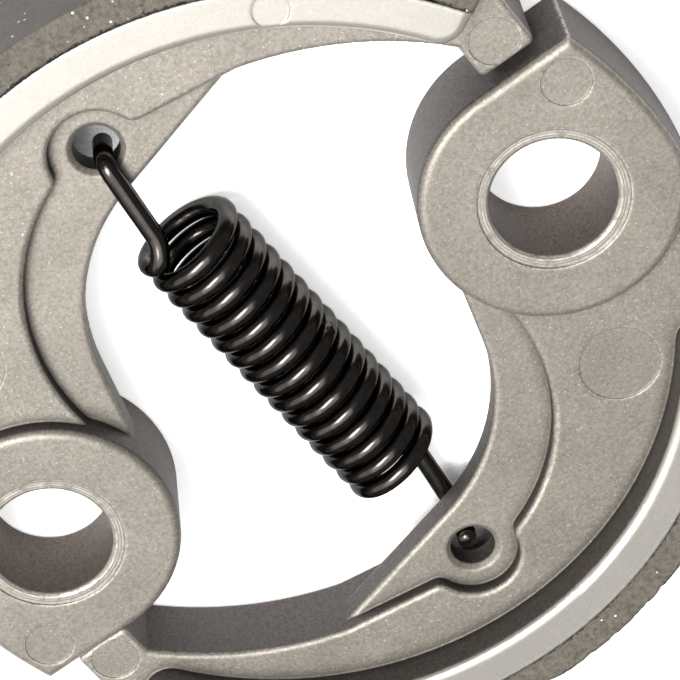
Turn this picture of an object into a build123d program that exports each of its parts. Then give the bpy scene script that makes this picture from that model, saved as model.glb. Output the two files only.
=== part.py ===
from build123d import *
import os
from math import acos, atan2, cos, degrees, hypot, pi, radians, sin, sqrt

# Two-shoe centrifugal clutch of a brush cutter: cast shoes, bonded linings and one hooked spring.
# The clutch axis is Z, the back faces lie on Z = 0 and both pivots lie on the X axis.
# Shoe A is drawn, with its pivot at -X. Shoe B is the same casting turned half round the axis.

# Friction linings
lining_radius = 38.0        # free radius of the friction face
lining_thickness = 2.8
lining_proud = 1.6          # how far the lining stands out of the casting's outer wall
lining_span = 118.0         # degrees of arc, centred on the shoe
lining_end_gap = 0.3        # glue gap at each shoulder of the seat
lining_edge = 0.25          # broken edge of the friction face

# Casting, seen from the front
rim_wall = 3.4              # raised flange that backs the lining
rim_corner = 2.2            # round end of the flange
pivot_inset = 10.6          # pivot axis, from the casting's outer wall
bore_diameter = 10.5
boss_radius = 11.0
tip_gap = 0.6               # tip of one shoe to the heel face of the other
tip_width = 5.2             # tongue that faces the other shoe's heel
tip_length = 3.3            # straight stretch of the tongue's inner side
tip_corner = 0.6
tip_ledge = 0.9             # web between rim and inner edge where the tongue starts
arm_ledge = 2.7             # and along the arm
arm_angle = 44.5            # where that is measured, from +X
nose_inset = 4.5            # corner between arm and spring pad, from the rim
nose_angle = 63.0           # and from +X
pad_edge_radius = 17.1      # round part of the spring pad's inner edge
pad_edge_angle = 281.0      # and where it passes the spring hole, from +X
pad_land = 4.23             # hole centre to that edge
pad_tail_angle = 23.0       # end of the pad's outer edge, about the pivot
pad_curve_radius = 18.5     # long curve of the pad's outer edge
boss_entry = 0.8            # how far inside the boss the pad's edges end

# Casting, heights over the back face
rim_height = 11.2
boss_height = 9.2
web_height = 7.6
pad_height = 6.2
pad_back = 3.2              # the spring pad is stepped in at the back as well

# Rounds of the casting, each limited by the wall it runs along
rim_round = 0.75
boss_round = 0.75
web_round = 0.45            # edges of web and pad
back_round = 0.5

# Spring pad and its hole
hole_inset = 6.6            # spring hole, from the rim
hole_angle = 91.7           # and from +X
spring_hole_diameter = 3.9
spring_hole_flare = 0.45    # countersink, measured along the radius
ear_radius = 3.9            # round of the pad about the hole
ear_lift = 1.1              # where the pad's two long edges would meet, above the hole centre
ear_blend = 1.2             # from the ear into the long edges

# Machined details of the bore and marks left by the mould's ejector pins
bore_chamfer = 0.25
spot_face_diameter = 12.6
spot_face_depth = 0.12
mark_depth = 0.08
pin_diameter = 4.2
core_pin_diameter = 7.0
rim_pin_diameter = 3.0
tip_mark_inset = (2.6, 2.1)     # from the tip's inner side and end
heel_mark_inset = (4.0, 3.0)    # from the outer wall and the heel face
web_mark_inset = 4.6        # from the rim
web_mark_angle = 141.3      # from +X
rim_mark_angle = 57.0       # on the flange, from +X

# Tension spring
wire_diameter = 1.65
coil_diameter = 9.3         # outside
coil_gap = 0.23             # between neighbouring turns, hooked in and stretched
coil_turns = 15
first_turn_angle = 280.0    # where the wire leaves the coil towards hook B
last_turn_angle = 398.0     # where the wire leaves the coil towards hook A
hook_bend = 1.6             # centre line radius of each hook
hook_clearance = 0.15       # wire to the face of the pad
hook_seat = 0.3             # wire to the side of its hole
hook_lead = 2.4             # from the coil's end to the start of the straight run
hook_offset = 1.1           # side offset of the straight run at its start
hook_pull = 1.3             # how firmly the lead follows the coil before it turns
hook_recess = 0.3           # tip of the hook below the far face of the pad

# How the code tells faces and edges apart
same = 0.001                # heights and radii this close count as equal
probe = 0.02                # how far beside an edge the solid is felt for
cut_margin = 1.0            # how far a through cut runs past both faces


def polar(radius, angle, centre=(0, 0)):
    """Point at a radius and an angle in degrees about a centre."""
    return (centre[0] + radius * cos(radians(angle)), centre[1] + radius * sin(radians(angle)))


# Sizes that follow from the driving dimensions
shoe_radius = lining_radius - lining_proud
seat_radius = lining_radius - lining_thickness
rim_radius = seat_radius - rim_wall
span_start = 90 - lining_span / 2
gap_angle = degrees(lining_end_gap / seat_radius)
pivot = (pivot_inset - shoe_radius, 0)
tip_end = boss_radius + tip_gap
tip_shoulder = tip_end + tip_length
tip_inner = sqrt((rim_radius - tip_ledge) ** 2 - tip_shoulder ** 2)
tip_outer = tip_inner + tip_width
arm_middle = polar(rim_radius - arm_ledge, arm_angle)
nose = polar(rim_radius - nose_inset, nose_angle)
spring_hole = polar(rim_radius - hole_inset, hole_angle)
pad_edge_centre = polar(pad_edge_radius + pad_land, pad_edge_angle, spring_hole)
pad_apex = (spring_hole[0], spring_hole[1] + ear_lift)
pad_edge_end = polar(boss_radius - boss_entry, 0, pivot)
pad_end = polar(boss_radius - boss_entry, pad_tail_angle, pivot)
tip_mark = (tip_inner + tip_mark_inset[0], tip_end + tip_mark_inset[1])
heel_mark = (heel_mark_inset[0] - shoe_radius, heel_mark_inset[1] - boss_radius)
web_mark = polar(rim_radius - web_mark_inset, web_mark_angle)
rim_mark = polar((rim_radius + seat_radius) / 2, rim_mark_angle)

# No round uses up the wall between two levels
rim_wall_height = rim_height - web_height
boss_wall_height = boss_height - web_height
pad_wall_height = web_height - pad_height
rim_edge = min(rim_round, rim_wall_height / 2)
boss_edge = min(boss_round, boss_wall_height / 2)
web_edge = min(web_round, pad_wall_height / 2)
back_edge = min(back_round, pad_back / 3)


def tangent_angle(point, centre, radius, side):
    """Angle in degrees at which the tangent from a point touches a circle, or from inside points at it."""
    away = (point[0] - centre[0], point[1] - centre[1])
    return degrees(atan2(away[1], away[0]) + side * acos(min(1, radius / hypot(*away)))) % 360


def ring_sector(inner, outer, start, span):
    """Sketch of a ring sector about the clutch axis."""
    with BuildSketch() as sector:
        with BuildLine():
            CenterArc((0, 0), inner, start, span)
            Line(polar(inner, start + span), polar(outer, start + span))
            CenterArc((0, 0), outer, start, span)
            Line(polar(outer, start), polar(inner, start))
        make_face()
    return sector.sketch


def round_edges(solid, diameter):
    """Circular edges of a given diameter."""
    circles = solid.edges().filter_by(GeomType.CIRCLE)
    return circles.filter_by(lambda edge: abs(2 * edge.radius - diameter) < same)


def step_edges(solid, height, up=1):
    """Edges of the level faces at a height (up=-1 for back faces) where a wall falls away."""
    found = []
    for level in solid.faces().filter_by(Axis.Z):
        if abs(level.center().Z - height) > same or level.normal_at().Z * up < 0:
            continue
        for edge in level.edges():
            middle = edge @ 0.5
            beside = (edge % 0.5).cross(Vector(0, 0, 1)) * probe
            if level.is_inside(middle + beside):
                beside = -beside
            if not solid.is_inside(middle + beside - Vector(0, 0, up * probe)):
                found.append(edge)
    return ShapeList(found)


def on_outer_wall(edge):
    """Whether an edge runs along the casting's outer wall."""
    middle = edge @ 0.5
    return hypot(middle.X, middle.Y) > shoe_radius - same


# Window between the two shoes, on shoe A's side
edge_start_angle = tangent_angle(nose, pad_edge_centre, pad_edge_radius, 1)
edge_end_angle = tangent_angle(pad_edge_end, pad_edge_centre, pad_edge_radius, -1)
with BuildSketch() as window:
    with BuildLine():
        Line((tip_inner, 0), (tip_inner, tip_shoulder))
        ThreePointArc((tip_inner, tip_shoulder), arm_middle, nose)
        Line(nose, polar(pad_edge_radius, edge_start_angle, pad_edge_centre))
        CenterArc(pad_edge_centre, pad_edge_radius, edge_start_angle, edge_end_angle - edge_start_angle)
        Line(polar(pad_edge_radius, edge_end_angle, pad_edge_centre), pad_edge_end)
        Line(pad_edge_end, (tip_inner, 0))
    make_face()

# Arm from heel to tip, without its pivot boss
with BuildSketch() as arm:
    Circle(shoe_radius)
    with Locations((tip_outer, 0)):
        Rectangle(2 * shoe_radius, shoe_radius, align=(Align.MAX, Align.MIN), mode=Mode.INTERSECT)
    Rectangle(shoe_radius, tip_end, align=(Align.MIN, Align.MIN), mode=Mode.SUBTRACT)
    add(window.sketch, mode=Mode.SUBTRACT)
    tip_corners = [v for v in arm.vertices() if v.X > 0 and abs(v.Y - tip_end) < same]
    fillet(tip_corners, tip_corner)

# Spring pad: a band along the inner edge with a round ear about the spring hole
with BuildSketch() as pad:
    with BuildLine():
        Line(nose, pad_apex)
        RadiusArc(pad_apex, pad_end, -pad_curve_radius)
        Line(pad_end, (pad_end[0], 0))
        Line((pad_end[0], 0), (0, 0))
        Line((0, 0), nose)
    make_face()
    with Locations(spring_hole):
        Circle(ear_radius)
    reach = {v: hypot(v.X - spring_hole[0], v.Y - spring_hole[1]) for v in pad.vertices()}
    ear_corners = [v for v in reach if abs(reach[v] - ear_radius) < same]
    fillet([v for v in ear_corners if v.Y > spring_hole[1]], ear_blend)

# Pivot boss with the square heel that backs on to the other shoe's tip
with BuildSketch() as boss:
    with Locations(pivot):
        Circle(boss_radius)
        Rectangle(shoe_radius, boss_radius, align=(Align.MAX, Align.MAX))
    Circle(shoe_radius, mode=Mode.INTERSECT)

with BuildSketch() as web:
    add(arm.sketch)
    add(pad.sketch, mode=Mode.SUBTRACT)

# Raised rim behind the lining, the lining itself and the seat that takes it
lining_plan = ring_sector(seat_radius, lining_radius, span_start, lining_span)
seat_plan = ring_sector(seat_radius, lining_radius, span_start - gap_angle, lining_span + 2 * gap_angle)
rim_plan = ring_sector(rim_radius, shoe_radius, span_start, lining_span)
with BuildSketch() as rim:
    add(rim_plan)
    fillet(rim.vertices().sort_by_distance((0, 0))[:2], rim_corner)


with BuildPart() as shoe_a:
    # The casting steps up from the spring pad to the web, the pivot boss and the rim
    with BuildSketch():
        add(arm.sketch)
        add(boss.sketch)
    extrude(amount=pad_height)
    for plan, height in ((web, web_height), (boss, boss_height), (rim, rim_height)):
        with BuildSketch(Plane.XY.offset(pad_height)):
            add(plan.sketch)
        extrude(amount=height - pad_height)
    # The pad is stepped in at the back, where a hook comes up through its hole
    with BuildSketch():
        add(pad.sketch)
        add(boss.sketch, mode=Mode.SUBTRACT)
    extrude(amount=pad_back, mode=Mode.SUBTRACT)
    # Rounds at the front. The rim's outer edge stays sharp, where the lining meets it
    fillet(step_edges(shoe_a.solid(), rim_height).filter_by(on_outer_wall, reverse=True), rim_edge)
    fillet(step_edges(shoe_a.solid(), boss_height), boss_edge)
    fillet(step_edges(shoe_a.solid(), web_height) + step_edges(shoe_a.solid(), pad_height), web_edge)
    # Rounds at the back
    for height in (0, pad_back):
        fillet(step_edges(shoe_a.solid(), height, up=-1), back_edge)
    # Seat of the lining, between the shoulders of heel and tip
    with BuildSketch(Plane.XY.offset(-cut_margin)):
        add(seat_plan)
    extrude(amount=rim_height + 2 * cut_margin, mode=Mode.SUBTRACT)
    # Pivot bore with its spot face and broken edges
    with Locations((*pivot, boss_height)):
        CounterBoreHole(bore_diameter / 2, spot_face_diameter / 2, spot_face_depth)
    chamfer(round_edges(shoe_a.part, bore_diameter), bore_chamfer)
    # Spring hole, flared on both faces
    with Locations((*spring_hole, pad_height)):
        Hole(spring_hole_diameter / 2)
    chamfer(round_edges(shoe_a.part, spring_hole_diameter), spring_hole_flare)
    # Ejector pin marks
    for place, height, diameter in (
        (tip_mark, web_height, pin_diameter),
        (heel_mark, boss_height, pin_diameter),
        (web_mark, web_height, core_pin_diameter),
        (rim_mark, rim_height, rim_pin_diameter),
    ):
        with Locations((*place, height)):
            Hole(diameter / 2, depth=mark_depth)

with BuildPart() as lining_a:
    with BuildSketch():
        add(lining_plan)
    extrude(amount=rim_height)
    outer = lining_a.faces().filter_by(GeomType.CYLINDER).sort_by_distance((0, 0, 0))[-1]
    chamfer(outer.edges(), lining_edge)

with BuildPart() as shoe_b:
    add(shoe_a.part, rotation=(0, 0, 180))

with BuildPart() as lining_b:
    add(lining_a.part, rotation=(0, 0, 180))

# The spring is drawn in a frame of its own: Z along its axis towards hole A, Y to the clutch's front
coil_radius = (coil_diameter - wire_diameter) / 2
coil_pitch = wire_diameter + coil_gap
coil_length = coil_pitch * (coil_turns + (last_turn_angle - first_turn_angle) / 360)
pad_half = (pad_height - pad_back) / 2
hook_height = pad_half + hook_clearance + wire_diameter / 2
hook_reach = hypot(*spring_hole) - spring_hole_diameter / 2 + wire_diameter / 2 + hook_seat
spring_frame = Plane(
    origin=(0, 0, pad_back + pad_half),
    x_dir=(-spring_hole[1], spring_hole[0], 0),
    z_dir=(*spring_hole, 0),
)

with BuildPart() as coil:
    with BuildLine() as helix:
        Helix(coil_pitch, coil_length, coil_radius, center=(0, 0, -coil_length / 2))
    with BuildSketch(Plane(origin=helix.line @ 0, z_dir=helix.line % 0)):
        Circle(wire_diameter / 2)
    sweep(is_frenet=True)


def hook(angle, end):
    """Hook at one end of the coil (1 for A, -1 for B): lead, straight run, bend and tip in the hole."""
    start = Vector(*polar(coil_radius, angle), end * coil_length / 2)
    heading = Vector(*polar(end, angle + 90), end * coil_pitch / (2 * pi * coil_radius)).normalized()
    run_start = Vector(end * hook_offset, end * hook_height, end * (coil_length / 2 + hook_lead))
    above_hole = Vector(0, end * hook_height, end * hook_reach)
    run = (above_hole - run_start).normalized()
    into_hole = Vector(0, -end, 0)
    run_end = above_hole - run * hook_bend
    bend_end = above_hole + into_hole * hook_bend
    tip = Vector(0, -end * (pad_half - hook_recess), above_hole.Z)
    with BuildPart() as wire:
        with BuildLine() as route:
            Bezier(start, start + heading * hook_pull, run_start - run * hook_pull, run_start)
            Line(run_start, run_end)
            TangentArc(run_end, bend_end, tangent=run)
            Line(bend_end, tip)
        with BuildSketch(Plane(origin=start, z_dir=heading)):
            Circle(wire_diameter / 2)
        sweep()
    return wire.part


hook_a = hook(last_turn_angle, 1)
hook_b = hook(first_turn_angle, -1)
with BuildPart() as free_spring:
    add(coil.part, rotation=(0, 0, first_turn_angle))
    add(hook_a)
    add(hook_b)

with BuildPart() as tension_spring:
    add(spring_frame.from_local_coords(free_spring.part))

os.makedirs("parts", exist_ok=True)
for name, solid in (
    ("shoe_a", shoe_a),
    ("shoe_b", shoe_b),
    ("lining_a", lining_a),
    ("lining_b", lining_b),
    ("tension_spring", tension_spring),
):
    solid.part.label = name
    export_step(solid.part, f"parts/{name}.step")
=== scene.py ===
import math

import bmesh
import bpy
from bpy.props import FloatProperty, FloatVectorProperty, IntProperty, PointerProperty, StringProperty
from bpy.types import Operator, Panel, PropertyGroup
from mathutils import Matrix, Vector, noise


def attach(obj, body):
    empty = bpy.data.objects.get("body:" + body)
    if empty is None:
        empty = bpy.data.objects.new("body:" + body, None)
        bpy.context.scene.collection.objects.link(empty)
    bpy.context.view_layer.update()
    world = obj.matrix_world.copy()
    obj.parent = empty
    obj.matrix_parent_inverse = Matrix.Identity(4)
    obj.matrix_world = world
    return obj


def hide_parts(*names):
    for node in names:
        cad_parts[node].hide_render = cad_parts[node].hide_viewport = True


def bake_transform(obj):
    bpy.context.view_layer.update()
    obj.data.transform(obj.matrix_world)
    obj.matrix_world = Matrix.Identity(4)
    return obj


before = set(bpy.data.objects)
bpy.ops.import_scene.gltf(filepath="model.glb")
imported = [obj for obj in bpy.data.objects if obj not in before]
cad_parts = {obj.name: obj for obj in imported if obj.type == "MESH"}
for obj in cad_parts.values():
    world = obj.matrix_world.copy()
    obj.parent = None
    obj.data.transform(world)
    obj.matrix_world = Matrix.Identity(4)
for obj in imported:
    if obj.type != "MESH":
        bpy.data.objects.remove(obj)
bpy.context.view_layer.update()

bl_info = {
    "name": "Centrifugal clutch",
    "version": (1, 0, 0),
    "blender": (4, 5, 0),
    "location": "3D View > Sidebar > Clutch",
    "description": "Finishes a two-shoe clutch: cast shoes, friction linings, hooked spring and studio",
    "category": "Object",
}

MM = 0.001

# Socket numbers of the Map Range and Mix nodes, whose socket names repeat
VALUE, START, STOP, LOW, HIGH = range(5)
SHARE, UNDER, OVER = 0, 6, 7
MIXED = 2

# Steps along the wire of the spring
COIL_STEP = math.radians(7.5)
LEAD_STEPS = 16
BEND_STEPS = 12
WIRE_SIDES = 5
WELD = MM / 1000

# Pressing marks, chips and crumbs of the linings, in cells per millimetre
PRESSED, CHIPPED, CRUMBLED = 1.3, 1.1, 2.6

FLOOR_REACH = 4.0
FLOOR_DROP = 0.1 * MM

# Width and height, place and aim of each lamp, in millimetres
LAMPS = {
    "softbox": ((540, 540), (-120, 30, 500), (-120, 30, 0)),
    "key": ((220, 160), (-100, 167, 405), (0, 0, 0)),
    "panel": ((420, 420), (-430, 60, 330), (0, 0, 0)),
}


class CastingLook(PropertyGroup):
    """Surface of the two die-cast shoes."""
    face: StringProperty(name="Face", description="Blasted front faces", default="#9A948A")
    hollow: StringProperty(name="Hollows", description="Between the grains", default="#807A71")
    # The glint colour is painted light: painted glints on the grains and painted highlights along the edges
    glint: StringProperty(name="Glint", description="Bright grains and rubbed edges", default="#DDD9CF")
    # Colour of the painted shade on the side walls
    wall: StringProperty(name="Walls", description="Drawn side walls of the casting", default="#4F4A47")
    bore: StringProperty(name="Bore", description="Oiled inside of the bores", default="#5E554E")
    turned: StringProperty(name="Turned", description="Turned ring round the bores", default="#C9C3B8")
    # Blasting leaves grains of about 0.1 mm, drawn coarser here so that they show
    grain: FloatProperty(name="Grain", description="Size of a grain", default=0.3 * MM, unit="LENGTH")
    # Size of a painted glint
    fleck: FloatProperty(name="Fleck", description="Size of a bright grain", default=0.1875 * MM,
                         unit="LENGTH")
    patch: FloatProperty(name="Patch", description="Size of the patches in the tone", default=6.25 * MM,
                         unit="LENGTH")
    relief: FloatProperty(name="Relief", description="Depth of the grain", default=0.02 * MM, unit="LENGTH")
    ground: StringProperty(name="Ground", description="Tops of the rims", default="#CAC6BF")
    rim: FloatProperty(name="Rim", description="Height of the rims", default=11.2 * MM, unit="LENGTH")
    pivot: FloatProperty(name="Pivot", description="Clutch axis to bore axis", default=25.8 * MM,
                         unit="LENGTH")
    ring: FloatProperty(name="Ring", description="Radius of the turned ring", default=6.3 * MM,
                        unit="LENGTH")
    tear: FloatProperty(name="Tear", description="Size of the gaps in that ring", default=0.909 * MM,
                        unit="LENGTH")
    # Turning marks lie about 0.1 mm apart, drawn coarser here so that they show
    groove: FloatProperty(name="Groove", description="Turning marks, pitch", default=0.24 * MM,
                          unit="LENGTH")
    # Width of the painted highlights along the edges
    rub: FloatProperty(name="Rub", description="Width of the rubbed edges", default=0.5 * MM, unit="LENGTH")
    crease: FloatProperty(name="Crease", description="Round at the foot of each wall", default=0.36 * MM,
                          unit="LENGTH")


class LiningLook(PropertyGroup):
    """Shape and surface of the pressed friction linings."""
    binder: StringProperty(name="Binder", description="Resin between the grains", default="#48433C")
    filler: StringProperty(name="Filler", description="Ground filler", default="#6B655B")
    speck: StringProperty(name="Speck", description="Brass and glass specks", default="#DEDACE")
    crack: StringProperty(name="Crack", description="Pores and bond line", default="#24211D")
    rubbed: StringProperty(name="Rubbed", description="Friction face", default="#35322E")
    blotch: FloatProperty(name="Blotch", description="Size of the filler's blotches", default=0.4545 * MM,
                          unit="LENGTH")
    sprinkle: FloatProperty(name="Sprinkle", description="Spacing of the specks", default=0.588 * MM,
                            unit="LENGTH")
    pore: FloatProperty(name="Pore", description="Size of the pores", default=0.526 * MM, unit="LENGTH")
    bond: FloatProperty(name="Bond", description="Radius of the bond line", default=35.2 * MM,
                        unit="LENGTH")
    cell: FloatProperty(name="Cell", description="Mesh step", default=0.4 * MM, unit="LENGTH")
    pit: FloatProperty(name="Pit", description="Depth of the pores", default=0.07 * MM, unit="LENGTH")
    chip: FloatProperty(name="Chip", description="Depth of chips along the edges", default=0.22 * MM,
                        unit="LENGTH")
    edge: FloatProperty(name="Edge", description="Width of the chipped strip", default=0.5 * MM,
                        unit="LENGTH")


class SpringShape(PropertyGroup):
    """Close-wound tension spring with a hook at each end."""
    wire: FloatProperty(name="Wire", description="Wire diameter", default=1.65 * MM, unit="LENGTH")
    coil: FloatProperty(name="Coil", description="Outside diameter", default=9.3 * MM, unit="LENGTH")
    gap: FloatProperty(name="Gap", description="Between turns", default=0.23 * MM, unit="LENGTH")
    turns: IntProperty(name="Turns", description="Whole turns", default=15)
    first: FloatProperty(name="First", description="Where hook B leaves the coil",
                         default=math.radians(280), unit="ROTATION")
    last: FloatProperty(name="Last", description="Where hook A leaves the coil", default=math.radians(398),
                        unit="ROTATION")
    middle: FloatProperty(name="Middle", description="Height of the axis", default=4.7 * MM, unit="LENGTH")
    hole: FloatVectorProperty(name="Hole", description="Spring hole of shoe A", size=2,
                              default=(-0.7476 * MM, 25.1889 * MM), unit="LENGTH")
    reach: FloatProperty(name="Reach", description="Axis to the hook's tip", default=24.375 * MM,
                         unit="LENGTH")
    height: FloatProperty(name="Height", description="Run above the axis", default=2.475 * MM,
                          unit="LENGTH")
    lead: FloatProperty(name="Lead", description="Coil to straight run", default=2.4 * MM, unit="LENGTH")
    offset: FloatProperty(name="Offset", description="Side offset of the run", default=1.1 * MM,
                          unit="LENGTH")
    pull: FloatProperty(name="Pull", description="How firmly the lead follows the coil", default=1.3 * MM,
                        unit="LENGTH")
    bend: FloatProperty(name="Bend", description="Bend of the hook", default=1.6 * MM, unit="LENGTH")
    tip: FloatProperty(name="Tip", description="Tip below the axis", default=1.2 * MM, unit="LENGTH")
    smear: FloatProperty(name="Smear", description="Size of the rubbed patches", default=0.714 * MM,
                         unit="LENGTH")
    steel: StringProperty(name="Steel", description="Oil-blackened wire", default="#3F3B38")
    worn: StringProperty(name="Worn", description="Rubbed wire", default="#4E4A45")


class StudioLook(PropertyGroup):
    """Camera, floor and lamps."""
    paper: StringProperty(name="Paper", description="Floor", default="#F7F7F7")
    # Colour of the painted shade on the floor below the spring holes
    shade: StringProperty(name="Shade", description="Floor below the clutch", default="#3C3A38")
    pocket: FloatProperty(name="Pocket", description="Radius of the shade below each spring hole",
                          default=4.4 * MM, unit="LENGTH")
    lens: FloatProperty(name="Lens", description="Focal length in millimetres", default=158.33)
    place: FloatVectorProperty(name="Camera", description="Place of the camera", subtype="XYZ",
                               default=(61.03 * MM, 110.07 * MM, 219.69 * MM), unit="LENGTH")
    right: FloatVectorProperty(name="Right", description="Picture's right",
                               default=(0.8034, -0.58834, 0.09174))
    down: FloatVectorProperty(name="Down", description="Picture's down",
                              default=(-0.549, -0.67224, 0.49668))
    softbox: FloatProperty(name="Softbox", description="Power of the softbox", default=2.0, unit="POWER")
    key: FloatProperty(name="Key", description="Power of the key lamp", default=2.5, unit="POWER")
    panel: FloatProperty(name="Panel", description="Power of the side panel", default=0.7, unit="POWER")
    sky: FloatProperty(name="Sky", description="Level of the room's light", default=0.22)
    glow: FloatProperty(name="Glow", description="How far the floor is lifted to white", default=0.6)
    near: FloatProperty(name="Near", description="Nearest that the camera sees", default=10 * MM,
                        unit="LENGTH")


def linear(hex_colour):
    """Linear RGBA of an sRGB hex colour."""
    channels = [int(hex_colour[i:i + 2], 16) / 255 for i in (1, 3, 5)]
    return (*[c / 12.92 if c <= 0.04045 else ((c + 0.055) / 1.055) ** 2.4 for c in channels], 1.0)


def add_node(tree, kind, inputs=(), **settings):
    """Adds a node with its settings, and fills its sockets with values or links."""
    node = tree.nodes.new(kind)
    for name, value in settings.items():
        setattr(node, name, value)
    for socket, value in dict(inputs).items():
        if isinstance(value, bpy.types.NodeSocket):
            tree.links.new(value, node.inputs[socket])
        else:
            node.inputs[socket].default_value = value
    return node


def new_material(name):
    """Empty node material with a Principled shader and coordinates in millimetres."""
    material = bpy.data.materials.new(name)
    material.use_nodes = True
    tree = material.node_tree
    tree.nodes.clear()
    shader = add_node(tree, "ShaderNodeBsdfPrincipled")
    add_node(tree, "ShaderNodeOutputMaterial", {"Surface": shader.outputs[0]})
    place = add_node(tree, "ShaderNodeTexCoord")
    scaled = add_node(tree, "ShaderNodeVectorMath", {0: place.outputs["Object"], "Scale": 1 / MM},
                      operation="SCALE")
    return material, tree, shader, scaled.outputs[0]


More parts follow.
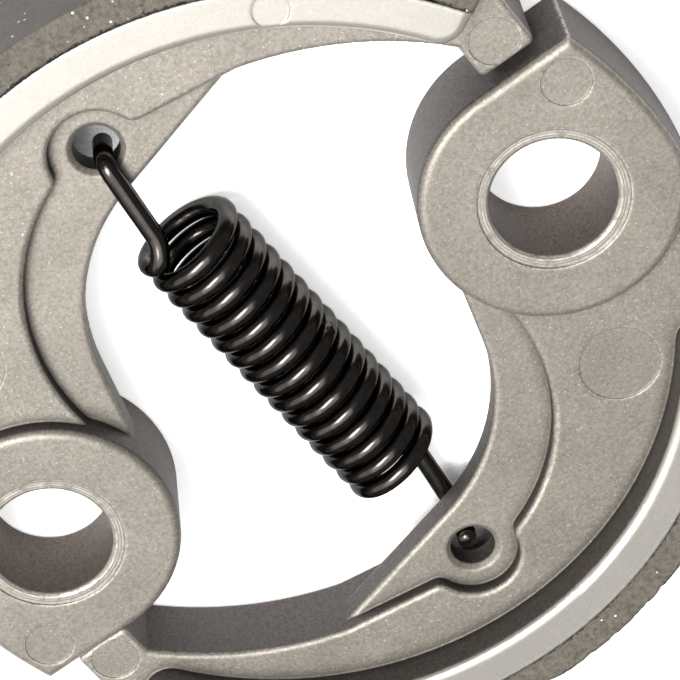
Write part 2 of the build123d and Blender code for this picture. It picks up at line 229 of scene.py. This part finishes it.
def cast_aluminium(look):
    """Blasted die-cast aluminium with turned rings round the bores, painted shade on its drawn walls and
    painted highlights on its edges and grains.
    """
    # Satin grey with painted glints on the faces, painted shade on the walls, in the holes and corners,
    # painted highlights along the edges, and a soft sheen
    material, tree, shader, at = new_material("cast_aluminium")
    grain = add_node(tree, "ShaderNodeTexNoise",
                     {"Vector": at, "Scale": MM / look.grain, "Detail": 2.5, "Roughness": 0.65})
    patch = add_node(tree, "ShaderNodeTexNoise", {"Vector": at, "Scale": MM / look.patch, "Detail": 2.0})
    # Painted glints: the brightest flecks of a fine noise get the glint colour
    fine = add_node(tree, "ShaderNodeTexNoise",
                    {"Vector": at, "Scale": MM / look.fleck, "Detail": 1.0})
    glint = add_node(tree, "ShaderNodeMapRange",
                     {VALUE: fine.outputs[0], START: 0.66, STOP: 0.82, HIGH: 0.8})
    mixed = add_node(tree, "ShaderNodeMapRange", {VALUE: grain.outputs[0], START: 0.32, STOP: 0.68})
    face = add_node(tree, "ShaderNodeMix",
                    {SHARE: mixed.outputs[0], UNDER: linear(look.hollow), OVER: linear(look.face)},
                    data_type="RGBA")
    face = add_node(tree, "ShaderNodeMix",
                    {SHARE: glint.outputs[0], UNDER: face.outputs[MIXED], OVER: linear(look.glint)},
                    data_type="RGBA")
    tone = add_node(tree, "ShaderNodeMapRange",
                    {VALUE: patch.outputs[0], START: 0.3, STOP: 0.7, LOW: 0.9, HIGH: 1.08})
    face = add_node(tree, "ShaderNodeMix", {SHARE: 1.0, UNDER: face.outputs[MIXED], OVER: tone.outputs[0]},
                    data_type="RGBA", blend_type="MULTIPLY")
    # Rims are ground smooth on top
    split = add_node(tree, "ShaderNodeSeparateXYZ", {0: at})
    smooth = add_node(tree, "ShaderNodeMapRange",
                      {VALUE: split.outputs[2], START: look.rim / MM - 0.7, STOP: look.rim / MM - 0.2,
                       HIGH: 0.6})
    face = add_node(tree, "ShaderNodeMix",
                    {SHARE: smooth.outputs[0], UNDER: face.outputs[MIXED], OVER: linear(look.ground)},
                    data_type="RGBA")
    # Distance from the nearer bore axis
    side = add_node(tree, "ShaderNodeMath", {0: split.outputs[0]}, operation="ABSOLUTE")
    across = add_node(tree, "ShaderNodeMath", {0: side.outputs[0], 1: look.pivot / MM},
                      operation="SUBTRACT")
    spoke = add_node(tree, "ShaderNodeCombineXYZ", {0: across.outputs[0], 1: split.outputs[1]})
    radius = add_node(tree, "ShaderNodeVectorMath", {0: spoke.outputs[0]}, operation="LENGTH")
    turned = add_node(tree, "ShaderNodeMapRange",
                      {VALUE: radius.outputs[1], START: look.ring / MM + 0.05, STOP: look.ring / MM - 0.35})
    torn = add_node(tree, "ShaderNodeTexNoise", {"Vector": at, "Scale": MM / look.tear, "Detail": 2.0})
    kept = add_node(tree, "ShaderNodeMapRange", {VALUE: torn.outputs[0], START: 0.35, STOP: 0.6})
    turned = add_node(tree, "ShaderNodeMath", {0: turned.outputs[0], 1: kept.outputs[0]},
                      operation="MULTIPLY")
    phase = add_node(tree, "ShaderNodeMath", {0: radius.outputs[1], 1: 2 * math.pi * MM / look.groove},
                     operation="MULTIPLY")
    groove = add_node(tree, "ShaderNodeMath", {0: phase.outputs[0]}, operation="SINE")
    streak = add_node(tree, "ShaderNodeMapRange",
                      {VALUE: groove.outputs[0], START: -1.0, STOP: 1.0, LOW: 0.5, HIGH: 1.1})
    metal = add_node(tree, "ShaderNodeMix",
                     {SHARE: 1.0, UNDER: linear(look.turned), OVER: streak.outputs[0]}, data_type="RGBA",
                     blend_type="MULTIPLY")
    face = add_node(tree, "ShaderNodeMix",
                    {SHARE: turned.outputs[0], UNDER: face.outputs[MIXED], OVER: metal.outputs[MIXED]},
                    data_type="RGBA")
    # Walls get a dark colour as painted shade, the bores a film of oil
    inside = add_node(tree, "ShaderNodeMath", {0: radius.outputs[1], 1: look.ring / MM - 0.5},
                      operation="LESS_THAN")
    wall_shade_and_oil = add_node(tree, "ShaderNodeMix",
                    {SHARE: inside.outputs[0], UNDER: linear(look.wall), OVER: linear(look.bore)},
                    data_type="RGBA")
    dusty = add_node(tree, "ShaderNodeMapRange",
                     {VALUE: grain.outputs[0], START: 0.3, STOP: 0.7, LOW: 0.62, HIGH: 1.38})
    # Painted shade on the walls down the spring holes and other narrow hollows, not in the bores
    narrow = add_node(tree, "ShaderNodeAmbientOcclusion", {"Distance": 6 * MM}, samples=8, only_local=True)
    painted_hole_shade = add_node(tree, "ShaderNodeMapRange",
                    {VALUE: narrow.outputs["AO"], START: 0.25, STOP: 0.55, LOW: 0.15})
    painted_hole_shade = add_node(tree, "ShaderNodeMath", {0: painted_hole_shade.outputs[0], 1: inside.outputs[0]}, operation="MAXIMUM")
    wall_shade_and_oil = add_node(tree, "ShaderNodeMix", {SHARE: 1.0, UNDER: wall_shade_and_oil.outputs[MIXED], OVER: painted_hole_shade.outputs[0]},
                    data_type="RGBA", blend_type="MULTIPLY")
    wall_shade_and_oil = add_node(tree, "ShaderNodeMix", {SHARE: 1.0, UNDER: wall_shade_and_oil.outputs[MIXED], OVER: dusty.outputs[0]},
                    data_type="RGBA", blend_type="MULTIPLY")
    surface = add_node(tree, "ShaderNodeNewGeometry")
    facing = add_node(tree, "ShaderNodeSeparateXYZ", {0: surface.outputs["Normal"]})
    steep = add_node(tree, "ShaderNodeMath", {0: facing.outputs[2]}, operation="ABSOLUTE")
    level = add_node(tree, "ShaderNodeMapRange", {VALUE: steep.outputs[0], START: 0.25, STOP: 0.6},
                     interpolation_type="SMOOTHSTEP")
    colour = add_node(tree, "ShaderNodeMix",
                      {SHARE: level.outputs[0], UNDER: wall_shade_and_oil.outputs[MIXED], OVER: face.outputs[MIXED]},
                      data_type="RGBA")
    # Painted highlights along the convex edges, broken up by the grain; painted shade in the corners
    edge_highlight_ao = add_node(tree, "ShaderNodeAmbientOcclusion", {"Distance": look.rub}, samples=8, only_local=True,
                     inside=True)
    rubbed = add_node(tree, "ShaderNodeMapRange",
                      {VALUE: edge_highlight_ao.outputs["AO"], START: 0.9, STOP: 0.55, HIGH: 0.9})
    patchy = add_node(tree, "ShaderNodeMapRange",
                      {VALUE: grain.outputs[0], START: 0.36, STOP: 0.58, LOW: 0.25})
    rubbed = add_node(tree, "ShaderNodeMath", {0: rubbed.outputs[0], 1: patchy.outputs[0]},
                      operation="MULTIPLY")
    colour = add_node(tree, "ShaderNodeMix",
                      {SHARE: rubbed.outputs[0], UNDER: colour.outputs[MIXED], OVER: linear(look.glint)},
                      data_type="RGBA")
    # Painted shade in the corners and at the foot of each wall
    shelter = add_node(tree, "ShaderNodeAmbientOcclusion", {"Distance": 1.6 * MM}, samples=8,
                       only_local=True)
    painted_crevice_shade = add_node(tree, "ShaderNodeMapRange",
                    {VALUE: shelter.outputs["AO"], START: 0.3, STOP: 0.85, LOW: 0.2, HIGH: 1.0})
    colour = add_node(tree, "ShaderNodeMix",
                      {SHARE: 1.0, UNDER: colour.outputs[MIXED], OVER: painted_crevice_shade.outputs[0]},
                      data_type="RGBA", blend_type="MULTIPLY")
    bright = add_node(tree, "ShaderNodeMath", {0: turned.outputs[0], 1: smooth.outputs[0]},
                      operation="MAXIMUM")
    bright = add_node(tree, "ShaderNodeMath", {0: bright.outputs[0], 1: level.outputs[0]},
                      operation="MULTIPLY")
    dull = add_node(tree, "ShaderNodeMapRange", {VALUE: level.outputs[0], LOW: 0.62, HIGH: 0.48})
    polish = add_node(tree, "ShaderNodeMapRange",
                      {VALUE: bright.outputs[0], LOW: dull.outputs[0], HIGH: 0.19})
    soft = add_node(tree, "ShaderNodeBevel", {"Radius": look.crease}, samples=6)
    rough = add_node(tree, "ShaderNodeMapRange", {VALUE: bright.outputs[0], LOW: 0.6, HIGH: 0.3})
    bump = add_node(tree, "ShaderNodeBump",
                    {"Strength": rough.outputs[0], "Distance": look.relief, "Height": grain.outputs[0],
                     "Normal": soft.outputs[0]})
    tree.links.new(colour.outputs[MIXED], shader.inputs["Base Color"])
    tree.links.new(polish.outputs[0], shader.inputs["Roughness"])
    tree.links.new(bump.outputs[0], shader.inputs["Normal"])
    shader.inputs["Metallic"].default_value = 0.6
    return material


def friction_compound(look):
    """Pressed friction compound: resin, filler, bright specks and pores."""
    # Dry grey-brown with no gloss, speckled and pitted, with painted shade in its hollows
    material, tree, shader, at = new_material("friction_compound")
    coarse = add_node(tree, "ShaderNodeTexNoise",
                      {"Vector": at, "Scale": MM / look.blotch, "Detail": 4.0, "Roughness": 0.7})
    mixed = add_node(tree, "ShaderNodeMapRange", {VALUE: coarse.outputs[0], START: 0.35, STOP: 0.65})
    colour = add_node(tree, "ShaderNodeMix",
                      {SHARE: mixed.outputs[0], UNDER: linear(look.binder), OVER: linear(look.filler)},
                      data_type="RGBA")
    surface = add_node(tree, "ShaderNodeNewGeometry")
    facing = add_node(tree, "ShaderNodeSeparateXYZ", {0: surface.outputs["Normal"]})
    steep = add_node(tree, "ShaderNodeMath", {0: facing.outputs[2]}, operation="ABSOLUTE")
    level = add_node(tree, "ShaderNodeMapRange", {VALUE: steep.outputs[0], START: 0.35, STOP: 0.7})
    dark = add_node(tree, "ShaderNodeMix",
                    {SHARE: 0.75, UNDER: colour.outputs[MIXED], OVER: linear(look.rubbed)}, data_type="RGBA")
    colour = add_node(tree, "ShaderNodeMix",
                      {SHARE: level.outputs[0], UNDER: dark.outputs[MIXED], OVER: colour.outputs[MIXED]},
                      data_type="RGBA")
    cells = add_node(tree, "ShaderNodeTexVoronoi", {"Vector": at, "Scale": MM / look.sprinkle})
    pick = add_node(tree, "ShaderNodeSeparateColor", {0: cells.outputs["Color"]})
    chosen = add_node(tree, "ShaderNodeMath", {0: pick.outputs[0], 1: 0.9}, operation="GREATER_THAN")
    spot = add_node(tree, "ShaderNodeMapRange", {VALUE: cells.outputs["Distance"], START: 0.22, STOP: 0.14})
    speck = add_node(tree, "ShaderNodeMath", {0: chosen.outputs[0], 1: spot.outputs[0]},
                     operation="MULTIPLY")
    colour = add_node(tree, "ShaderNodeMix",
                      {SHARE: speck.outputs[0], UNDER: colour.outputs[MIXED], OVER: linear(look.speck)},
                      data_type="RGBA")
    pores = add_node(tree, "ShaderNodeTexNoise",
                     {"Vector": at, "Scale": MM / look.pore, "Detail": 3.0, "Roughness": 0.7})
    crack = add_node(tree, "ShaderNodeMapRange", {VALUE: pores.outputs[0], START: 0.33, STOP: 0.29})
    colour = add_node(tree, "ShaderNodeMix",
                      {SHARE: crack.outputs[0], UNDER: colour.outputs[MIXED], OVER: linear(look.crack)},
                      data_type="RGBA")
    # Pitted bond line along the shoe
    ring = add_node(tree, "ShaderNodeVectorMath", {0: at, 1: (1, 1, 0)}, operation="MULTIPLY")
    ring = add_node(tree, "ShaderNodeVectorMath", {0: ring.outputs[0]}, operation="LENGTH")
    ragged = add_node(tree, "ShaderNodeMapRange",
                      {VALUE: coarse.outputs[0], START: 0.35, STOP: 0.65, LOW: -0.1, HIGH: 0.45})
    edge = add_node(tree, "ShaderNodeMath", {0: ragged.outputs[0], 1: look.bond / MM}, operation="ADD")
    bond = add_node(tree, "ShaderNodeMath", {0: ring.outputs[1], 1: edge.outputs[0]}, operation="LESS_THAN")
    colour = add_node(tree, "ShaderNodeMix",
                      {SHARE: bond.outputs[0], UNDER: colour.outputs[MIXED], OVER: linear(look.crack)},
                      data_type="RGBA")
    # Painted shade in the hollows of the lining and where it meets the shoe
    shelter = add_node(tree, "ShaderNodeAmbientOcclusion", {"Distance": 0.6 * MM}, samples=8)
    painted_crevice_shade = add_node(tree, "ShaderNodeMapRange",
                    {VALUE: shelter.outputs["AO"], START: 0.3, STOP: 0.8, LOW: 0.25, HIGH: 1.0})
    colour = add_node(tree, "ShaderNodeMix",
                      {SHARE: 1.0, UNDER: colour.outputs[MIXED], OVER: painted_crevice_shade.outputs[0]},
                      data_type="RGBA", blend_type="MULTIPLY")
    depth = add_node(tree, "ShaderNodeMath", {0: coarse.outputs[0], 1: crack.outputs[0]},
                     operation="SUBTRACT")
    bump = add_node(tree, "ShaderNodeBump",
                    {"Strength": 0.7, "Distance": look.pit, "Height": depth.outputs[0]})
    tree.links.new(colour.outputs[MIXED], shader.inputs["Base Color"])
    tree.links.new(bump.outputs[0], shader.inputs["Normal"])
    shader.inputs["Roughness"].default_value = 0.75
    return material


def spring_wire(shape):
    """Oil-blackened spring steel, a little rubbed."""
    # Nearly black, with a short white highlight on each turn
    material, tree, shader, at = new_material("spring_wire")
    rub = add_node(tree, "ShaderNodeTexNoise",
                   {"Vector": at, "Scale": MM / shape.smear, "Detail": 4.0, "Roughness": 0.6})
    worn = add_node(tree, "ShaderNodeMapRange", {VALUE: rub.outputs[0], START: 0.45, STOP: 0.75})
    colour = add_node(tree, "ShaderNodeMix",
                      {SHARE: worn.outputs[0], UNDER: linear(shape.steel), OVER: linear(shape.worn)},
                      data_type="RGBA")
    gloss = add_node(tree, "ShaderNodeMapRange",
                     {VALUE: rub.outputs[0], START: 0.3, STOP: 0.7, LOW: 0.2, HIGH: 0.26})
    tree.links.new(colour.outputs[MIXED], shader.inputs["Base Color"])
    tree.links.new(gloss.outputs[0], shader.inputs["Roughness"])
    shader.inputs["Metallic"].default_value = 1.0
    shader.inputs["Specular Tint"].default_value = linear(shape.steel)
    shader.inputs["Coat Weight"].default_value = 0.35
    shader.inputs["Coat Roughness"].default_value = 0.13
    return material


def dress(node, material):
    """Gives every slot of a CAD node one material."""
    node.data.materials.clear()
    node.data.materials.append(material)


def add_piece(name, mesh, material):
    """Links a finished mesh as a piece of its own."""
    piece = bpy.data.objects.new(name, mesh)
    bpy.context.scene.collection.objects.link(piece)
    mesh.materials.append(material)
    mesh.shade_smooth()
    return piece


def lining_mesh(name, cad, look):
    """Ring sector of the CAD lining, pressed rough and chipped along its edges."""
    points = [vertex.co for vertex in cad.data.vertices]
    middle = sum(points, Vector()) / len(points)
    turn = math.atan2(middle.y, middle.x)
    inner = min(math.hypot(p.x, p.y) for p in points)
    outer = max(math.hypot(p.x, p.y) for p in points)
    top = max(p.z for p in points)
    flat = Matrix.Rotation(-turn, 3, "Z")
    half = max(math.atan2((flat @ p).y, (flat @ p).x) for p in points)
    bm = bmesh.new()
    spots = ((inner, 0), (outer, 0), (outer, top), (inner, top))
    loop = [bm.verts.new((r, 0, z)) for r, z in spots]
    sides = [bm.edges.new((loop[i - 1], loop[i])) for i in range(len(loop))]
    for edge in sides:
        bmesh.ops.subdivide_edges(bm, edges=[edge], cuts=int(edge.calc_length() / look.cell))
    bmesh.ops.rotate(bm, verts=bm.verts, cent=(0, 0, 0), matrix=Matrix.Rotation(turn - half, 3, "Z"))
    bmesh.ops.spin(bm, geom=bm.verts[:] + bm.edges[:], cent=(0, 0, 0), axis=(0, 0, 1), angle=2 * half,
                   steps=int(2 * half * outer / look.cell))
    bmesh.ops.edgeloop_fill(bm, edges=[edge for edge in bm.edges if edge.is_boundary])
    bmesh.ops.recalc_face_normals(bm, faces=bm.faces)
    bm.normal_update()
    for vertex in bm.verts:
        at = vertex.co / MM
        radius = math.hypot(vertex.co.x, vertex.co.y)
        rough = 0.5 + 0.5 * noise.fractal(at * PRESSED, 0.8, 2.0, 3)
        reach = min(radius - inner, outer - radius) + min(vertex.co.z, top - vertex.co.z)
        near = max(0.0, 1 - reach / look.edge)
        chipped = max(0.0, noise.noise(at * CHIPPED) + 0.6 * noise.noise(at * CRUMBLED))
        depth = look.pit * max(0.0, min(1.0, rough)) + look.chip * near * min(1.0, chipped)
        vertex.co -= vertex.normal * depth
    mesh = bpy.data.meshes.new(name)
    bm.to_mesh(mesh)
    bm.free()
    return mesh


def hook_route(shape, angle, end):
    """Route of one hook in the spring's own frame (1 for hook A, -1 for hook B)."""
    ring = (shape.coil - shape.wire) / 2
    pitch = shape.wire + shape.gap
    length = pitch * (shape.turns + (shape.last - shape.first) / (2 * math.pi))
    start = Vector((ring * math.cos(angle), ring * math.sin(angle), end * length / 2))
    heading = Vector((-end * math.sin(angle), end * math.cos(angle), end * pitch / (2 * math.pi * ring)))
    heading.normalize()
    run_start = Vector((end * shape.offset, end * shape.height, end * (length / 2 + shape.lead)))
    corner = Vector((0, end * shape.height, end * shape.reach))
    run = (corner - run_start).normalized()
    down = Vector((0, -end, 0))
    route = []
    handles = (start, start + heading * shape.pull, run_start - run * shape.pull, run_start)
    for i in range(1, LEAD_STEPS + 1):
        t = i / LEAD_STEPS
        weights = ((1 - t) ** 3, 3 * t * (1 - t) ** 2, 3 * t * t * (1 - t), t ** 3)
        route.append(sum((h * w for h, w in zip(handles, weights)), Vector()))
    bend_start = corner - run * shape.bend
    bend_end = corner + down * shape.bend
    for i in range(BEND_STEPS + 1):
        t = i / BEND_STEPS
        weights = ((1 - t) ** 2, 2 * t * (1 - t), t * t)
        route.append(sum((p * w for p, w in zip((bend_start, corner, bend_end), weights)), Vector()))
    route.append(Vector((0, -end * shape.tip, corner.z)))
    return route


def spring_routes(shape):
    """Routes of the two half springs in the clutch's frame, each from the middle to its hook's tip."""
    ring = (shape.coil - shape.wire) / 2
    pitch = shape.wire + shape.gap
    sweep = 2 * math.pi * shape.turns + shape.last - shape.first
    along = Vector((*shape.hole, 0)).normalized()
    to_clutch = Matrix((Vector((-along.y, along.x, 0)), Vector((0, 0, 1)), along)).transposed()
    axis = Vector((0, 0, shape.middle))
    steps = int(sweep / COIL_STEP)
    for end, last in ((1, shape.last), (-1, shape.first)):
        route = []
        # One step past the middle, so that the halves overlap
        for i in range(-1, steps // 2 + 1):
            part = end * i / (steps // 2) / 2
            turn = shape.first + sweep * (0.5 + part)
            route.append(Vector((ring * math.cos(turn), ring * math.sin(turn),
                                 part * sweep / (2 * math.pi) * pitch)))
        route += hook_route(shape, last, end)
        coil_end = axis + along * end * route[steps // 2 + 1].z
        yield end, [axis + to_clutch @ point for point in route], coil_end


def wire_mesh(name, route, thickness):
    """Round wire along a route, closed at both ends."""
    curve = bpy.data.curves.new(name, "CURVE")
    curve.dimensions = "3D"
    curve.bevel_depth = thickness / 2
    curve.bevel_resolution = WIRE_SIDES
    curve.use_fill_caps = True
    line = curve.splines.new("POLY")
    line.points.add(len(route) - 1)
    for point, place in zip(line.points, route):
        point.co = (*place, 1)
    model = bpy.data.objects.new(name, curve)
    bpy.context.scene.collection.objects.link(model)
    bpy.context.view_layer.update()
    mesh = bpy.data.meshes.new_from_object(model.evaluated_get(bpy.context.evaluated_depsgraph_get()))
    bpy.data.objects.remove(model)
    bpy.data.curves.remove(curve)
    bm = bmesh.new()
    bm.from_mesh(mesh)
    bmesh.ops.remove_doubles(bm, verts=bm.verts, dist=WELD)
    bmesh.ops.recalc_face_normals(bm, faces=bm.faces)
    bm.to_mesh(mesh)
    bm.free()
    mesh.name = name
    return mesh


def white_paper(look, hole):
    """White paper that shows nearly free of shade, with painted shade below each spring hole where little
    light gets down.
    """
    # Plain bright white, with the soft shadow of the clutch and painted shade below the spring holes
    material, tree, shader, at = new_material("white_paper")
    shader.inputs["Roughness"].default_value = 0.9
    shader.inputs["Emission Color"].default_value = linear(look.paper)
    path = add_node(tree, "ShaderNodeLightPath")
    seen = add_node(tree, "ShaderNodeMath",
                    {0: path.outputs["Is Camera Ray"], 1: path.outputs["Is Glossy Ray"]}, operation="MAXIMUM")
    seen = add_node(tree, "ShaderNodeMath", {0: seen.outputs[0], 1: path.outputs["Is Transmission Ray"]},
                    operation="MAXIMUM")
    # Painted shade on the floor near each spring hole, where the floor is also sheltered
    near = [add_node(tree, "ShaderNodeVectorMath", {0: at, 1: spot}, operation="DISTANCE").outputs["Value"]
            for spot in (hole, -hole)]
    near = add_node(tree, "ShaderNodeMath", {0: near[0], 1: near[1]}, operation="MINIMUM")
    away = add_node(tree, "ShaderNodeMapRange",
                    {VALUE: near.outputs[0], START: look.pocket / MM, STOP: look.pocket / MM + 1.0})
    shelter = add_node(tree, "ShaderNodeAmbientOcclusion", {"Distance": 12 * MM}, samples=8)
    open_air = add_node(tree, "ShaderNodeMapRange", {VALUE: shelter.outputs["AO"], START: 0.18, STOP: 0.32})
    open_air = add_node(tree, "ShaderNodeMath", {0: open_air.outputs[0], 1: away.outputs[0]},
                        operation="MAXIMUM")
    paper = add_node(tree, "ShaderNodeMix",
                     {SHARE: open_air.outputs[0], UNDER: linear(look.shade), OVER: linear(look.paper)},
                     data_type="RGBA")
    tree.links.new(paper.outputs[MIXED], shader.inputs["Base Color"])
    glow = add_node(tree, "ShaderNodeMath", {0: open_air.outputs[0], 1: look.glow}, operation="MULTIPLY")
    glow = add_node(tree, "ShaderNodeMath", {0: seen.outputs[0], 1: glow.outputs[0]}, operation="MULTIPLY")
    tree.links.new(glow.outputs[0], shader.inputs["Emission Strength"])
    return material


def add_floor(scene, material):
    """Wide floor just below the clutch."""
    bm = bmesh.new()
    bmesh.ops.create_grid(bm, x_segments=1, y_segments=1, size=FLOOR_REACH)
    bmesh.ops.translate(bm, verts=bm.verts, vec=(0, 0, -FLOOR_DROP))
    mesh = bpy.data.meshes.new("floor")
    bm.to_mesh(mesh)
    bm.free()
    mesh.materials.append(material)
    floor = bpy.data.objects.new("floor", mesh)
    scene.collection.objects.link(floor)


def light_room(scene, look):
    """Even light from all round."""
    world = bpy.data.worlds.new("room")
    world.use_nodes = True
    scene.world = world
    tree = world.node_tree
    tree.nodes.clear()
    sky = add_node(tree, "ShaderNodeBackground", {"Color": linear(look.paper), "Strength": look.sky})
    add_node(tree, "ShaderNodeOutputWorld", {"Surface": sky.outputs[0]})


def add_lamps(scene, look):
    """A wide softbox overhead, a small key lamp, and a panel to the left for the rounded edges."""
    for name, (size, place, aim) in LAMPS.items():
        lamp = bpy.data.objects.new(name, bpy.data.lights.new(name, "AREA"))
        scene.collection.objects.link(lamp)
        lamp.data.energy = getattr(look, name)
        lamp.data.shape = "RECTANGLE"
        lamp.data.size, lamp.data.size_y = Vector(size) * MM
        place, aim = Vector(place) * MM, Vector(aim) * MM
        turn = (place - aim).to_track_quat("Z", "Y").to_matrix().to_4x4()
        lamp.matrix_world = Matrix.Translation(place) @ turn


def add_camera(scene, look):
    """Camera at the photograph's viewing angle."""
    camera = bpy.data.objects.new("camera", bpy.data.cameras.new("camera"))
    scene.collection.objects.link(camera)
    camera.data.lens = look.lens
    camera.data.clip_start = look.near
    right, up = Vector(look.right), -Vector(look.down)
    axes = Matrix((right, up, right.cross(up))).transposed()
    camera.matrix_world = Matrix.Translation(look.place) @ axes.to_4x4()
    scene.camera = camera


class CLUTCH_OT_cast_shoes(Operator):
    """Finish both cast shoes"""
    bl_idname = "clutch.cast_shoes"
    bl_label = "Cast shoes"

    def execute(self, context):
        material = cast_aluminium(context.scene.clutch_casting)
        for name in ("shoe_a", "shoe_b"):
            dress(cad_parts[name], material)
        return {"FINISHED"}


class CLUTCH_OT_friction_linings(Operator):
    """Build both friction linings"""
    bl_idname = "clutch.friction_linings"
    bl_label = "Friction linings"

    def execute(self, context):
        look = context.scene.clutch_lining
        material = friction_compound(look)
        for side in ("a", "b"):
            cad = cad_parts[f"lining_{side}"]
            mesh = lining_mesh(f"friction_lining_{side}", cad, look)
            piece = add_piece(f"friction_lining_{side}", mesh, material)
            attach(piece, f"shoe_{side}")
            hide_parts(f"lining_{side}")
        return {"FINISHED"}


class CLUTCH_OT_return_spring(Operator):
    """Wind the return spring"""
    bl_idname = "clutch.return_spring"
    bl_label = "Return spring"

    def execute(self, context):
        shape = context.scene.clutch_spring
        material = spring_wire(shape)
        for end, route, coil_end in spring_routes(shape):
            side = "a" if end > 0 else "b"
            mesh = wire_mesh(f"spring_half_{side}", route, shape.wire)
            piece = add_piece(f"spring_half_{side}", mesh, material)
            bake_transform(piece)
            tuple(coil_end)
            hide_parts("tension_spring")
        return {"FINISHED"}


class CLUTCH_OT_studio(Operator):
    """Set up floor, lamps and camera"""
    bl_idname = "clutch.studio"
    bl_label = "Studio"

    def execute(self, context):
        scene = context.scene
        look = scene.clutch_studio
        scene.view_settings.view_transform = "Standard"
        hole = Vector((*scene.clutch_spring.hole, 0)) / MM
        add_floor(scene, white_paper(look, hole))
        light_room(scene, look)
        add_lamps(scene, look)
        add_camera(scene, look)
        return {"FINISHED"}


class CLUTCH_PT_panel(Panel):
    """Clutch tools"""
    bl_idname = "CLUTCH_PT_panel"
    bl_label = "Centrifugal clutch"
    bl_space_type = "VIEW_3D"
    bl_region_type = "UI"
    bl_category = "Clutch"

    def draw(self, context):
        for operator in OPERATORS:
            self.layout.operator(operator.bl_idname)
        for name in GROUPS:
            group = getattr(context.scene, name)
            box = self.layout.box()
            for prop in group.__annotations__:
                box.prop(group, prop)


GROUPS = {
    "clutch_casting": CastingLook,
    "clutch_lining": LiningLook,
    "clutch_spring": SpringShape,
    "clutch_studio": StudioLook,
}
OPERATORS = (CLUTCH_OT_cast_shoes, CLUTCH_OT_friction_linings, CLUTCH_OT_return_spring, CLUTCH_OT_studio)


def register():
    for group in (*GROUPS.values(), *OPERATORS, CLUTCH_PT_panel):
        bpy.utils.register_class(group)
    for name, group in GROUPS.items():
        setattr(bpy.types.Scene, name, PointerProperty(type=group))


def unregister():
    for name in GROUPS:
        delattr(bpy.types.Scene, name)
    for group in (CLUTCH_PT_panel, *reversed(OPERATORS), *reversed(GROUPS.values())):
        bpy.utils.unregister_class(group)


def main():
    register()
    bpy.ops.clutch.cast_shoes()
    bpy.ops.clutch.friction_linings()
    bpy.ops.clutch.return_spring()
    bpy.ops.clutch.studio()


if __name__ == "__main__":
    main()
